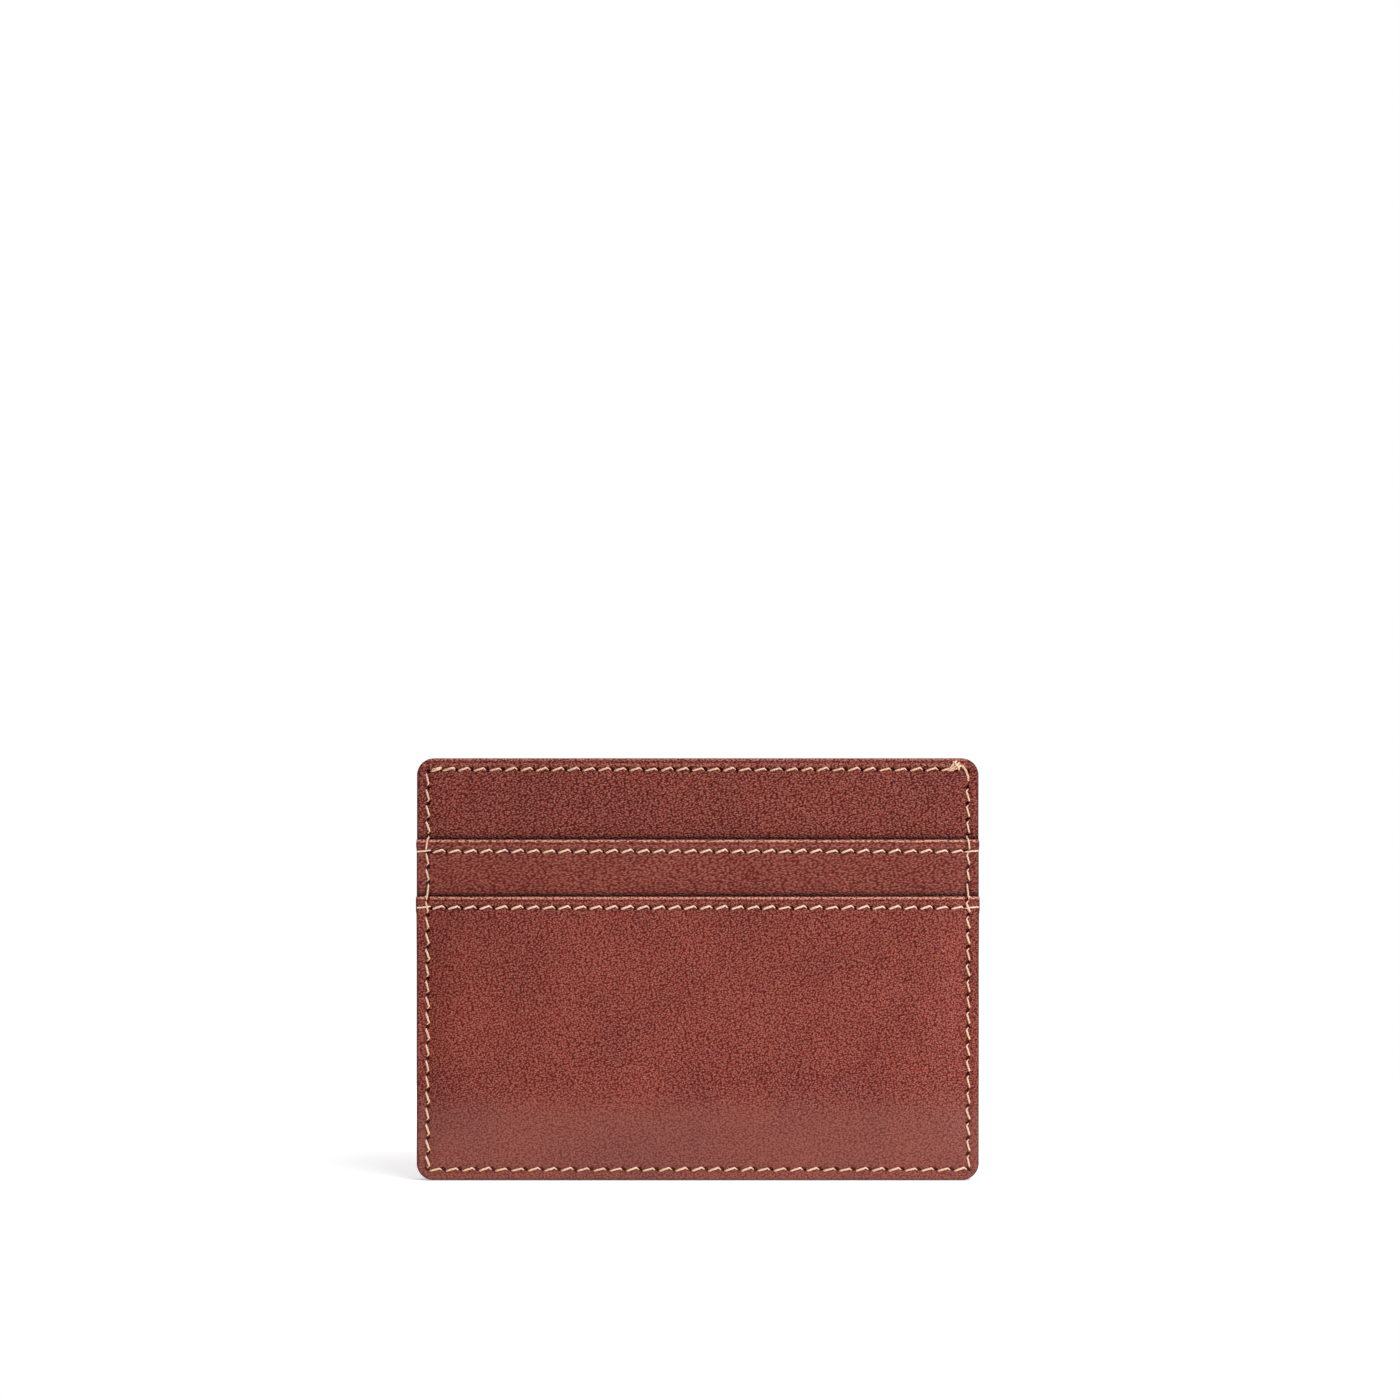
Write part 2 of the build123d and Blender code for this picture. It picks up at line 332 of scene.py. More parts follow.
PANEL_HIDDEN = 59.0           # the upper pocket covers the panel below this height
SIDE_HOLE_SHIFT = 0.12        # how far off the seam's line its slits are cut
seam_x = WIDTH / 2 - SEAM_INSET


def places_between(start, end, stitches):
    """The holes of one straight run, as (x, z)."""
    return np.linspace(start, end, stitches + 1)


side_down = places_between((-seam_x, SIDE_SEAM_TOP), (-seam_x, SEAM_INSET), SIDE_STITCHES)
along_bottom = places_between((-seam_x, SEAM_INSET), (seam_x, SEAM_INSET), BOTTOM_STITCHES)
side_up = places_between((seam_x, SEAM_INSET), (seam_x, SIDE_SEAM_TOP), SIDE_STITCHES)
perimeter_holes = np.concatenate([side_down, along_bottom[1:], side_up[1:]])
top_holes = places_between((-TOP_SEAM_REACH, TOP_SEAM), (TOP_SEAM_REACH, TOP_SEAM), TOP_STITCHES)


def bell(distance, width, centre=0.0):
    """1 at the centre, falling smoothly to nothing on both sides."""
    return np.exp(-((distance - centre) / width) ** 2)


def to_perimeter_seam(x, z):
    """How far a point lies from the seam round the sides and the foot."""
    beside = np.hypot(np.abs(x) - seam_x, np.clip(SEAM_INSET - z, 0, None))
    below = np.hypot(z - SEAM_INSET, np.clip(np.abs(x) - seam_x, 0, None))
    return np.minimum(beside, below)


def to_nearest(x, z, holes):
    """How far a point lies from the nearest hole."""
    spots = np.hypot(x[..., None] - holes[:, 0], z[..., None] - holes[:, 1])
    return spots.min(-1)


def ripple(x, z, wavelength, height, seed):
    """The slow unevenness of a hide: a few crossing swells, fixed by their seed."""
    swells = 9
    chance = np.random.default_rng(seed)
    swell = 0 * x
    for _ in range(swells):
        heading, phase = chance.uniform(0, math.tau, 2)
        length = wavelength * chance.uniform(0.7, 1.6)
        swell = swell + np.sin((x * math.cos(heading) + z * math.sin(heading)) * math.tau / length + phase)
    return height / math.sqrt(swells) * swell * freedom(x, z)


def tooled(x, z, mouth, seam_height, holes):
    """What the creasing iron and the stitches do to a face below its upper edge."""
    from_mouth = mouth - z
    to_seam = np.minimum(np.abs(z - seam_height), to_perimeter_seam(x, z))
    crease = -0.05 * bell(from_mouth, 0.14, 0.66)
    roll = 0.04 * bell(from_mouth, 0.4, 1.25)
    groove = -0.09 * bell(to_seam, 0.45) + 0.02 * bell(to_seam, 0.6, 1.15)
    return crease + roll + groove - 0.09 * bell(to_nearest(x, z, holes), 0.45)


def rubbed(x, z, mouth, seam_height, holes, bead=1.0, painted_roll_highlight=0.12):
    """What the tools leave on the dye, with painted highlights: -1 a painted highlight, 0 the open grain, 1
    burnt dark.

    The outline, the crease, the seams and the holes are dark. The mouth's bead carries a painted
    highlight, and the roll between its crease and its seam a weaker one.
    """
    bead_centre, bead_half_height = 0.2, 0.22
    to_seam = np.minimum(np.abs(z - seam_height), to_perimeter_seam(x, z))
    marks = [
        0.85 * bell(np.clip(edge_distance(x, z), 0, None), 0.22) * (mouth - z > 0.5),
        0.45 * bell(mouth - z, 0.15, 0.66), 0.25 * bell(to_seam, 0.5),
        0.45 * bell(to_nearest(x, z, holes), 0.5),
    ]
    # Painted highlights: a weak one on the roll below the crease and a strong one on the bead.
    roll = painted_roll_highlight * bell(mouth - z, 0.4, 1.15)
    bright = bead * np.exp(-((mouth - z - bead_centre) / bead_half_height) ** 4)
    return np.max(marks, axis=0) - bright - roll


def painted_shade_above(z, mouth):
    """Painted shade: a dark line on the sheet behind a pocket, just above the pocket's mouth."""
    above = np.clip(z - mouth, 0, None)
    return np.where(z > mouth - 0.5, 0.75 * bell(above, 0.5) + 0.35 * np.exp(-above / 0.9), 0)


def glazed_calf(name, grain, dark, light, stretch=1.0, smooth_foot=0.0):
    """Glazed aniline calf: even dye with cloudy depth, pebbled grain, and a soft shine on it.

    grain scales how deep the creases between the pebbles are, which the glazing jack presses out
    more in some places, and below smooth_foot, in metres, most of all. stretch draws the grain
    out along the hide. The pebbles are drawn 0.35 mm apart and the wrinkles 0.24 mm, coarser than
    the real ones, so that they show. Part of the shine is painted into the colour: painted glints on
    the pebbles' crowns, painted shade in the hollows between them, and below smooth_foot a painted
    reflection of the floor that greys the dye. The attribute "tooling" darkens the tool marks, adds
    painted shade above a mouth, and where it is negative brings a painted highlight.
    """
    pebble_pitch, ridge_pitch, cloud_size = 0.35 * MM, 0.24 * MM, 12 * MM
    rise_of_grain, tilt = math.radians(-10), math.radians(33)
    pressed_share, painted_reflection_share = 0.55, 0.4
    material, tree, shader = new_material(name, IOR=1.5, Specular_IOR_Level=0.175)
    place = add(tree, "ShaderNodeTexCoord").outputs["Object"]
    tilted, along = [add(tree, "ShaderNodeMapping", {
        "Vector": place, "Rotation": (lean, rise_of_grain, 0), "Scale": (stretch, 1, 1),
    }, vector_type="TEXTURE").outputs[0] for lean in (tilt, 0)]
    spread = add(tree, "ShaderNodeSeparateXYZ", {0: along}).outputs
    flat = add(tree, "ShaderNodeCombineXYZ", {0: spread["X"], 1: spread["Z"]}).outputs[0]
    pebbles = add(tree, "ShaderNodeTexVoronoi", {
        "Vector": flat, "Scale": 1 / pebble_pitch, "Randomness": 0.9,
    }, feature="F1", voronoi_dimensions="2D")
    wrinkles = add(tree, "ShaderNodeTexNoise", {
        "Vector": tilted, "Scale": 1 / ridge_pitch, "Detail": 0.0,
    })
    cloud = add(tree, "ShaderNodeTexNoise", {
        "Vector": place, "Scale": 1 / cloud_size, "Detail": 2.0, "Roughness": 0.5,
    })
    ridge = add(tree, "ShaderNodeMapRange", {
        "Value": wrinkles.outputs["Fac"], "From Min": 0.2, "From Max": 0.8,
        "To Min": -0.17, "To Max": 0.17,
    })
    pebble = add(tree, "ShaderNodeMapRange", {
        "Value": pebbles.outputs["Distance"], "From Min": 0.1, "From Max": 0.75,
        "To Min": 0.0, "To Max": -0.45,
    })
    height = add(tree, "ShaderNodeMath", {0: ridge.outputs[0], 1: pebble.outputs[0]}, operation="ADD")
    up = add(tree, "ShaderNodeSeparateXYZ", {0: place})
    openness = add(tree, "ShaderNodeMapRange", {
        "Value": up.outputs["Z"], "From Min": 0.6 * smooth_foot, "From Max": smooth_foot + 1 * MM,
        "To Min": pressed_share * grain, "To Max": grain,
    }, interpolation_type="SMOOTHSTEP")
    mottle = add(tree, "ShaderNodeMapRange", {
        "Value": cloud.outputs["Fac"], "From Min": 0.36, "From Max": 0.64,
    })
    dye = add(tree, "ShaderNodeMix", {
        0: mottle.outputs[0], 6: colour(dark), 7: colour(light),
    }, data_type="RGBA")
    # Painted reflection of the floor: where the grain is pressed out towards the foot, the dye is greyed
    # towards pale pink-grey.
    waxed = add(tree, "ShaderNodeMapRange", {
        "Value": openness.outputs[0], "From Min": pressed_share * grain, "From Max": grain,
        "To Min": painted_reflection_share, "To Max": 0.0,
    })
    painted_floor_reflection = add(tree, "ShaderNodeMix", {
        0: waxed.outputs[0], 6: dye.outputs[2], 7: colour("#7C574F"),
    }, data_type="RGBA")
    # Painted glints: the pebbles' crowns are lightened towards a pale pink, the more where the grain is open.
    crown = add(tree, "ShaderNodeMapRange", {
        "Value": height.outputs[0], "From Min": -0.26, "From Max": 0.1, "To Min": 0.0, "To Max": 0.75,
    })
    rise = add(tree, "ShaderNodeMath", {0: crown.outputs[0], 1: openness.outputs[0]}, operation="MULTIPLY")
    painted_crown_glints = add(tree, "ShaderNodeMix", {
        0: rise.outputs[0], 6: painted_floor_reflection.outputs[2], 7: colour("#AD6E61"),
    }, data_type="RGBA")
    # Painted shade: the hollows between the pebbles are darkened, the more where the grain is open.
    hollow = add(tree, "ShaderNodeMapRange", {
        "Value": height.outputs[0], "From Min": -0.44, "From Max": -0.2, "To Min": 1.0, "To Max": 0.0,
    })
    depth = add(tree, "ShaderNodeMath", {0: hollow.outputs[0], 1: openness.outputs[0]}, operation="MULTIPLY")
    creased = add(tree, "ShaderNodeMix", {
        0: depth.outputs[0], 6: painted_crown_glints.outputs[2], 7: colour("#4E0C04"),
    }, data_type="RGBA")
    # The attribute darkens the tool marks and a painted shade above a mouth; its negative values bring a
    # painted highlight.
    tooling = add(tree, "ShaderNodeAttribute", attribute_name="tooling").outputs["Fac"]
    marks_and_painted_light = add(tree, "ShaderNodeMix", {
        0: tooling, 6: creased.outputs[2], 7: colour("#2E0C07"),
    }, data_type="RGBA")
    # The painted highlight on a mouth's bead, broken up by the wrinkles.
    patchy = add(tree, "ShaderNodeMapRange", {
        "Value": wrinkles.outputs["Fac"], "From Min": 0.4, "From Max": 0.58, "To Min": -0.1, "To Max": -1.3,
    })
    painted_highlight_share = add(tree, "ShaderNodeMath", {0: tooling, 1: patchy.outputs[0]}, operation="MULTIPLY")
    polished = add(tree, "ShaderNodeMix", {
        0: painted_highlight_share.outputs[0], 6: marks_and_painted_light.outputs[2], 7: colour("#D08E7A"),
    }, data_type="RGBA")
    shine = add(tree, "ShaderNodeMapRange", {
        "Value": height.outputs[0], "From Min": -0.6, "From Max": 0.1, "To Min": 0.33, "To Max": 0.4,
    })
    relief = add(tree, "ShaderNodeBump", {
        "Height": height.outputs[0], "Distance": 0.3 * MM, "Strength": openness.outputs[0],
    })
    drive(tree, shader, Base_Color=polished.outputs[2], Roughness=shine.outputs[0], Normal=relief.outputs[0])
    return material


def painted_shade_hole_core():
    """The inside of an awl hole, nearly black: painted shade on its walls."""
    material, _, shader = new_material("raw_leather_core", Roughness=0.95)
    shader.inputs["Base Color"].default_value = colour("#1E0B07")
    return material


def stitch_tree():
    """Repeats one stitch along a run of edges, each edge reaching from one hole to the next."""
    tree = bpy.data.node_groups.new("stitch_run", "GeometryNodeTree")
    sockets = (
        ("Seam", "Geometry"), ("Stitch", "Object"), ("Stitch length", "Float"), ("Thickness", "Float"),
        ("Wobble", "Float"), ("Outward", "Vector"), ("Seed", "Int"), ("Finish", "Material"),
    )
    for name, kind in sockets:
        tree.interface.new_socket(name, in_out="INPUT", socket_type="NodeSocket" + kind)
    tree.interface.new_socket("Stitches", in_out="OUTPUT", socket_type="NodeSocketGeometry")
    given = add(tree, "NodeGroupInput").outputs
    ends = add(tree, "GeometryNodeInputMeshEdgeVertices").outputs
    kept = tree.nodes.new("GeometryNodeCaptureAttribute")
    kept.domain = "EDGE"
    for name, source in (("Start", "Position 1"), ("End", "Position 2")):
        kept.capture_items.new("VECTOR", name)
        tree.links.new(ends[source], kept.inputs[name])
    tree.links.new(given["Seam"], kept.inputs["Geometry"])
    starts = add(tree, "GeometryNodeMeshToPoints", {
        "Mesh": kept.outputs["Geometry"], "Position": kept.outputs["Start"],
    }, mode="EDGES")
    reach = add(tree, "ShaderNodeVectorMath", {
        0: kept.outputs["End"], 1: kept.outputs["Start"],
    }, operation="SUBTRACT")
    length = add(tree, "ShaderNodeVectorMath", {0: reach.outputs[0]}, operation="LENGTH")
    stretch = add(tree, "ShaderNodeMath", {
        0: length.outputs["Value"], 1: given["Stitch length"],
    }, operation="DIVIDE")
    heading = add(tree, "FunctionNodeAxesToRotation", {
        "Primary Axis": reach.outputs[0], "Secondary Axis": given["Outward"],
    }, primary_axis="X", secondary_axis="Z")
    back = add(tree, "ShaderNodeMath", {0: given["Wobble"], 1: -1.0}, operation="MULTIPLY")
    swing = add(tree, "FunctionNodeRandomValue", {
        2: back.outputs[0], 3: given["Wobble"], "Seed": given["Seed"],
    }, data_type="FLOAT")
    turn = add(tree, "ShaderNodeCombineXYZ", {"Z": swing.outputs[1]})
    turn = add(tree, "FunctionNodeEulerToRotation", {0: turn.outputs[0]})
    placed = add(tree, "FunctionNodeRotateRotation", {
        "Rotation": heading.outputs[0], "Rotate By": turn.outputs[0],
    }, rotation_space="LOCAL")
    girth = add(tree, "FunctionNodeRandomValue", {2: 0.92, 3: 1.1, "Seed": given["Seed"]}, data_type="FLOAT")
    girth = add(tree, "ShaderNodeMath", {0: girth.outputs[1], 1: given["Thickness"]}, operation="MULTIPLY")
    size = add(tree, "ShaderNodeCombineXYZ", {
        "X": stretch.outputs[0], "Y": girth.outputs[0], "Z": girth.outputs[0],
    })
    model = add(tree, "GeometryNodeObjectInfo", {"Object": given["Stitch"]})
    repeated = add(tree, "GeometryNodeInstanceOnPoints", {
        "Points": starts.outputs[0], "Instance": model.outputs["Geometry"],
        "Rotation": placed.outputs[0], "Scale": size.outputs[0],
    })
    real = add(tree, "GeometryNodeRealizeInstances", {0: repeated.outputs[0]})
    finished = add(tree, "GeometryNodeSetMaterial", {
        "Geometry": real.outputs[0], "Material": given["Finish"],
    })
    add(tree, "NodeGroupOutput", {0: finished.outputs[0]})
    return tree


def run_of(model, starts, ends, side, finish, seed=0, thickness=1.0, wobble=0.0, length=1.0,
           outward=1):
    """A plain mesh of one run of a seam: model repeated from each start to its end, in millimetres.

    length is how long the model is between its own holes, wobble how far it may swing, in
    radians, and outward -1 for the thread on the back of what it sews.
    """
    count = len(starts)
    points = np.stack([starts, ends], 1).reshape(-1, 3) * MM
    points[:, :2] *= SIDES[side]
    mesh = bpy.data.meshes.new("run")
    mesh.from_pydata(points.tolist(), [(2 * k, 2 * k + 1) for k in range(count)], [])
    run = bpy.data.objects.new("run", mesh)
    bpy.context.scene.collection.objects.link(run)
    modifier = run.modifiers.new("stitches", "NODES")
    modifier.node_group = stitches
    values = {
        "Stitch": model, "Stitch length": length * MM, "Thickness": thickness, "Wobble": wobble,
        "Outward": (0.0, -float(SIDES[side] * outward), 0.0), "Seed": seed, "Finish": finish,
    }
    for item in stitches.interface.items_tree:
        if item.name in values:
            modifier[item.identifier] = values[item.name]
    shown = run.evaluated_get(bpy.context.evaluated_depsgraph_get())
    plain = bpy.data.meshes.new_from_object(shown)
    bpy.data.objects.remove(run)
    return plain


def model_object(name, points, faces):
    """A pattern for the stitch runs, in millimetres, kept out of the scene."""
    mesh = bpy.data.meshes.new(name)
    mesh.from_pydata((np.array(points) * MM).tolist(), [], faces)
    return bpy.data.objects.new(name, mesh)


def awl_slit():
    """The hole of a diamond awl: a pointed slit, slanted across the seam."""
    half_length, half_gap, slant = 0.56, 0.28, math.radians(-40)
    bottom, top = -0.45, 0.6
    ring = []
    for along, gap in ((-1, 0), (-0.45, -1), (0.45, -1), (1, 0), (0.45, 1), (-0.45, 1)):
        a, b = along * half_length, gap * half_gap
        ring.append((a * math.cos(slant) - b * math.sin(slant), a * math.sin(slant) + b * math.cos(slant)))
    points = [(a, b, depth) for depth in (bottom, top) for a, b in ring]
    faces = [tuple(range(5, -1, -1)), tuple(range(6, 12))]
    faces += [(k, (k + 1) % 6, (k + 1) % 6 + 6, k + 6) for k in range(6)]
    return model_object("awl_slit", points, faces)


def directions(holes):
    """The way the seam runs at each hole, halfway between its two stitches."""
    legs = np.diff(holes, axis=0)
    legs /= np.linalg.norm(legs, axis=1)[:, None]
    mean = np.concatenate([legs[:1], legs[:-1] + legs[1:], legs[-1:]])
    return mean / np.linalg.norm(mean, axis=1)[:, None]


def pierced(mesh, side, runs, face):
    """Cuts the awl slits of each run into a sheet. A run is its holes, and how far left they lie."""
    heads = np.concatenate([directions(holes) for holes, _ in runs])
    spots = np.concatenate([
        holes + off_line * directions(holes)[:, ::-1] * (-1, 1) for holes, off_line in runs
    ])
    depth = face(spots[:, 0], spots[:, 1])
    starts = np.stack([spots[:, 0], -depth, spots[:, 1]], 1)
    ends = starts + np.stack([heads[:, 0], 0 * depth, heads[:, 1]], 1)
    slits = bpy.data.objects.new("slits", run_of(slit_model, starts, ends, side, core_finish))
    sheet = bpy.data.objects.new("sheet", mesh)
    for part in (slits, sheet):
        bpy.context.scene.collection.objects.link(part)
    cut = sheet.modifiers.new("slits", "BOOLEAN")
    cut.operation, cut.solver, cut.object = "DIFFERENCE", "MANIFOLD", slits
    cut.material_mode = "TRANSFER"
    result = bpy.data.meshes.new_from_object(sheet.evaluated_get(bpy.context.evaluated_depsgraph_get()))
    for part in (slits, sheet):
        bpy.data.objects.remove(part)
    name = mesh.name
    bpy.data.meshes.remove(mesh)
    result.name = name
    return result


stitches = stitch_tree()
slit_model = awl_slit()
core_finish = painted_shade_hole_core()
panel_finish = glazed_calf("glazed_calf_panel", 1.0, "#6B1C10", "#7A2517", stretch=1.5)
panel_margin = board_depth + PANEL_LEATHER
panel_field = HALF_CENTRE_GAP + panel_margin
panel_skin = layer(panel_margin, panel_field)
panel_marks = np.concatenate([top_holes, perimeter_holes])


def placed(holes, face, lift=0.0):
    """Holes given as (x, z), set on a face, as (x, y, z) with the front at -y."""
    return np.stack([holes[:, 0], -(face(holes[:, 0], holes[:, 1]) + lift), holes[:, 1]], 1)


panel_faces = {}
for side, seed in (("front", 11), ("rear", 12)):
    def panel_face(x, z, seed=seed):
        shown = np.clip(z - PANEL_HIDDEN - 0.5, 0, 1)
        marks = tooled(x, z, HEIGHT, TOP_SEAM, panel_marks)
        return panel_skin(x, z) + shown * (ripple(x, z, 24, 0.05, seed) + marks)

    panel_faces[side] = panel_face
    mesh = sheet_mesh(
        side + "_main_panel_calf", side, 0.0, HEIGHT, LEATHER_MESH, panel_face, board_face,
        round_over=0.2, top_round=0.7, hidden_below=PANEL_HIDDEN,
        # Tool marks, a painted highlight along the top edge, and painted shade just above the upper slot's
        # mouth.
        marks_and_painted_light=lambda x, z: (
            rubbed(x, z, HEIGHT, TOP_SEAM, panel_marks, 0.3, 0.25) + painted_shade_above(z, UPPER_MOUTH)
        ),
    )
    shown_holes = perimeter_holes[perimeter_holes[:, 1] > PANEL_HIDDEN + 1]
    halves = [(shown_holes[shown_holes[:, 0] * way > 0], SIDE_HOLE_SHIFT) for way in (-1, 1)]
    mesh = pierced(mesh, side, [(top_holes, 0.0)] + halves, panel_face)
    add_piece(mesh, [panel_finish, edge_finish, panel_finish, core_finish], [side + "_main_panel"])

# --------------------------------------------------------------
# Slot base stitching. A hidden row sewn before the pockets go on, which holds the foot of the
# upper slot's lining to the main panel. Waxed polyester thread, twisted from three plies.
# --------------------------------------------------------------
THREAD_RADIUS = 0.17
STITCH_LENGTH = 2.8
SLOT_BASE_SEAM = 10.0
SLOT_BASE_REACH = 41.55
SLOT_BASE_STITCHES = 30


def tube(path, radius, sides=6, plies=3, lay=1.1):
    """Points and faces of a thread along a path, closed at both ends, with its plies showing."""
    path, radii = np.array(path, float), np.broadcast_to(radius, len(path))
    heading = np.gradient(path, axis=0)
    heading /= np.linalg.norm(heading, axis=1)[:, None]
    travelled = np.concatenate([[0], np.linalg.norm(np.diff(path, axis=0), axis=1).cumsum()])
    across = np.cross(heading[0], (0.0, 0.3, 1.0))
    points = []
    for centre, ahead, gone, girth in zip(path, heading, travelled, radii):
        across = across - ahead * across.dot(ahead)
        across /= np.linalg.norm(across)
        up = np.cross(across, ahead)
        for angle in np.arange(sides) / sides * math.tau:
            swell = girth * (1 + 0.12 * math.cos(plies * angle - gone / lay * math.tau))
            points.append(centre + swell * (math.cos(angle) * across + math.sin(angle) * up))
    rings = len(path)
    faces = [
        (r * sides + k, r * sides + (k + 1) % sides, (r + 1) * sides + (k + 1) % sides, (r + 1) * sides + k)
        for r in range(rings - 1) for k in range(sides)
    ]
    faces += [tuple(range(sides - 1, -1, -1)), tuple(range((rings - 1) * sides, rings * sides))]
    return points, faces


def waxed_thread(name, shaded, lit):
    """Waxed, three-ply polyester: a warm beige with a low sheen, darker in the lay of its plies."""
    material, tree, shader = new_material(name, Roughness=0.55, Sheen_Weight=0.2, Sheen_Roughness=0.5)
    place = add(tree, "ShaderNodeTexCoord").outputs["Object"]
    fibres = add(tree, "ShaderNodeTexNoise", {
        "Vector": place, "Scale": 1 / (0.25 * MM), "Detail": 2.0, "Roughness": 0.6, "Distortion": 0.8,
    })
    spread = add(tree, "ShaderNodeMapRange", {
        "Value": fibres.outputs["Fac"], "From Min": 0.3, "From Max": 0.7,
    })
    tint = add(tree, "ShaderNodeMix", {
        0: spread.outputs[0], 6: colour(shaded), 7: colour(lit),
    }, data_type="RGBA")
    relief = add(tree, "ShaderNodeBump", {
        "Height": fibres.outputs["Fac"], "Distance": 0.05 * MM, "Strength": 0.7,
    })
    drive(tree, shader, Base_Color=tint.outputs[2], Normal=relief.outputs[0])
    return material


def joined(name, meshes):
    """One mesh out of several."""
    whole = bmesh.new()
    for mesh in meshes:
        whole.from_mesh(mesh)
    result = bpy.data.meshes.new(name)
    whole.to_mesh(result)
    whole.free()
    return result


def add_seam(name, meshes, replaced, finish):
    """Puts one seam's runs and ends in the holder as one piece."""
    return add_piece(joined(name, meshes), [finish], replaced, sharp=70)


# A stitch leaves its slit, lies slanted on the leather, and turns down along the next slit's lip
stitch_path = [
    (0.40, -0.28, -0.42), (0.46, -0.26, -0.06), (0.64, -0.20, 0.12), (1.10, -0.05, 0.18),
    (1.70, 0.13, 0.18), (2.10, 0.26, 0.13), (2.32, 0.10, 0.04), (2.50, -0.10, -0.05), (2.56, -0.15, -0.42),
]
stitch_girth = (0.14, 0.16, 0.17, 0.18, 0.18, 0.17, 0.13, 0.11, 0.10)
stitch_model = model_object("stitch", *tube(stitch_path, stitch_girth))
# The other thread's loop lies flat, and both its ends turn back into the leather
loop_path = [
    (0.3, 0, 0.25), (0.35, 0, -0.02), (0.6, 0, 0.06), (2.2, 0, 0.06), (2.45, 0, -0.02), (2.5, 0, 0.25),
]
loop_points, loop_faces = tube(loop_path, 0.12)
loop_points = [(a, b, c if c < 0.1 else -c) for a, b, c in loop_points]
loop_model = model_object("loop", loop_points, loop_faces)
pale_thread = waxed_thread("waxed_thread_pale", "#D2AA8C", "#FFDEC4")

slot_base_holes = places_between((-SLOT_BASE_REACH, SLOT_BASE_SEAM), (SLOT_BASE_REACH, SLOT_BASE_SEAM),
                                 SLOT_BASE_STITCHES)


def sewn_run(holes, face, side, finish, seed, thickness=1.0, wobble=0.04):
    """The stitches that lie on a face, from hole to hole."""
    spots = placed(holes, face)
    return run_of(stitch_model, spots[:-1], spots[1:], side, finish, seed, thickness, wobble, STITCH_LENGTH)


def looped_run(holes, back, side, finish, seed):
    """The same seam's other thread, drawn flat against the back of what it sews."""
    spots = placed(holes, back)
    return run_of(loop_model, spots[:-1], spots[1:], side, finish, seed, 1.0, 0.02, STITCH_LENGTH, outward=-1)


tongue_skin = layer(panel_margin + LINING, panel_field + LINING)
for side, seed in (("front", 31), ("rear", 32)):
    add_seam(side + "_slot_base_thread", [
        sewn_run(slot_base_holes, tongue_skin, side, pale_thread, seed),
        looped_run(slot_base_holes, board_face, side, pale_thread, seed),
    ], [side + "_slot_base_stitching"], pale_thread)

# --------------------------------------------------------------
# Upper slot linings. A T-shaped tongue of the same twill backs each upper slot: as wide as the
# holder behind the leather strip, narrower below, and sewn to the panel at its foot.
# --------------------------------------------------------------
TONGUE_BOTTOM = 8.0
TONGUE_HALF_WIDTH = 45.0
STRIP_BOTTOM = 42.0
SLOT_GAP = 0.25
MOUTH_GAPE = 0.2


def tongue_inset(z):
    """Narrow below the strip, and as wide as the holder behind it."""
    return (WIDTH / 2 - TONGUE_HALF_WIDTH) * np.clip(STRIP_BOTTOM + 1 - z, 0, 1)


def tongue_lift(z):
    """How far the tongue's back stands off where it lies free: nothing at its foot, then the gap."""
    flat_to, rise = 12, 4
    return panel_field + SLOT_GAP * np.clip((z - flat_to) / rise, 0, 1)


def mouth_gape(x, z, mouth):
    """A slot's mouth stands a little open between its seams."""
    half_span, fading = 46, 8
    return MOUTH_GAPE * np.clip(1 - (x / half_span) ** 2, 0, 1) ** 2 * np.exp(-(mouth - z) / fading)


def gaping(face, mouth):
    """The same face, moved out where the mouth stands open."""
    return lambda x, z: face(x, z) + mouth_gape(x, z, mouth)


tongue_back = gaping(layer(panel_margin, tongue_lift), UPPER_MOUTH)
tongue_face = gaping(layer(panel_margin + LINING, lambda z: tongue_lift(z) + LINING), UPPER_MOUTH)
for side in SIDES:
    mesh = sheet_mesh(side + "_upper_slot_twill", side, TONGUE_BOTTOM, UPPER_MOUTH - 0.15, LINING_MESH,
                      tongue_face, tongue_back, inset=tongue_inset)
    lining = add_piece(mesh, [lining_finish] * 3, [side + "_upper_slot_lining"])

# --------------------------------------------------------------
# Upper slot leathers. A strip of the same calf, skived thin down its back so that its hidden
# lower edge leaves no ridge. Its upper edge is the slot's mouth: creased, inked and polished, with a
# painted highlight along its bead. Its colour carries painted shade just above the lower slot's mouth.
# --------------------------------------------------------------
STRIP_LEATHER = 0.5
PARED_EDGE = 0.1
SKIVE_START = 48.0
UPPER_MOUTH_SEAM = 58.5
MOUTH_SEAM_REACH = 47.5
MOUTH_STITCHES = 34
MOUTH_HOLE_SHIFT = -0.05
STRIP_HIDDEN = 49.0           # the lower pocket covers the strip below this height


def shoulder(mouth, fade):
    """The sheet's ends stand a hair proud of the holder's side for a little way below a mouth."""
    return lambda z: -0.1 * np.clip((z - mouth + fade) / 0.8, 0, 1)


def strip_thickness(z):
    """Pared thin at the strip's lower edge, and whole above the skive."""
    up_the_skive = np.clip((z - STRIP_BOTTOM) / (SKIVE_START - STRIP_BOTTOM), 0, 1)
    return PARED_EDGE + (STRIP_LEATHER - PARED_EDGE) * up_the_skive


